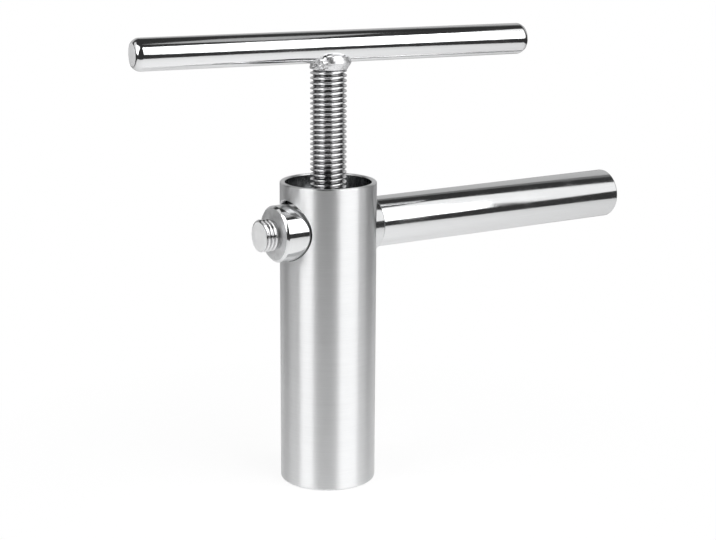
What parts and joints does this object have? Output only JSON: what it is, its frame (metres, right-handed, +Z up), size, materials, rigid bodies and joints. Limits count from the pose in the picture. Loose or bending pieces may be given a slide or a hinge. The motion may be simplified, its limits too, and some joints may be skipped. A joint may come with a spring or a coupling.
{
  "type": "manual wheatgrass juicer",
  "caption": "Hand-cranked screw press juicer: a steel barrel with a strainer foot, a tee screw that pushes a plunger down it, and a side handle to hold it by.",
  "frame": {"origin": "centre of the barrel's bottom end, in the plane of the table that it stands on, on the barrel's axis", "axes": "+Z up along the barrel and the press screw, +X from the barrel along the side handle, +Y across the side handle, away from the side that the picture shows"},
  "size_m": [0.2773, 0.048, 0.2274],
  "materials": {
    "steel_tube": "satin, fine brushing round the tube",
    "steel_ring": "turned",
    "strainer": "fine brushed, drilled",
    "screen": "thin perforated sheet, matt",
    "polished_bar": "polished, matt turned end faces",
    "screw_thread": "rolled thread with bright crests",
    "weld_bead": "weld bead, polished on one side and pebbled on the other",
    "plunger": "turned",
    "bronze": "turned bronze",
    "spring_wire": "drawn wire",
    "thin_washer": "stamped",
    "bush": "turned",
    "polished_tube": "polished",
    "plug": "turned"
  },
  "bodies": {
    "barrel": {"press_barrel": "steel_tube", "base_ring": "steel_ring", "strainer_plate": "strainer", "filter_screen": "screen", "cross_bar": "polished_bar"},
    "plunger": {"plunger_disc": "plunger", "plunger_hub": "plunger", "thrust_washer": "bronze", "snap_ring": "spring_wire"},
    "screw": {"press_screw": "screw_thread", "tee_bar": "polished_bar", "tee_weld": "weld_bead"},
    "washer": {"handle_washer": "thin_washer"},
    "side_handle": {"handle_tube": "polished_tube", "handle_bush": "bush", "handle_plug": "plug"}
  },
  "joints": [
    {"name": "press_travel", "type": "slide", "parent": "barrel", "child": "plunger", "axis": [0, 0, 1], "range_m": [-0.0501, 0.0376]},
    {"name": "tee_turn", "type": "hinge", "parent": "plunger", "child": "screw", "pos_m": [0, 0, 0.0725], "axis": [0, 0, 1], "range_deg": [-7200, 5400]},
    {"name": "handle_travel", "type": "slide", "parent": "barrel", "child": "washer", "axis": [1, 0, 0], "range_m": [-0.0001, 0.0161]},
    {"name": "handle_unscrew", "type": "hinge", "parent": "washer", "child": "side_handle", "pos_m": [0.0256, 0, 0.13], "axis": [1, 0, 0], "range_deg": [0, 2880]}
  ],
  "couplings": [
    {"joint": "press_travel", "follows": "tee_turn", "m_per_rad": 0.00039789},
    {"joint": "handle_travel", "follows": "handle_unscrew", "m_per_rad": 0.00031831}
  ]
}
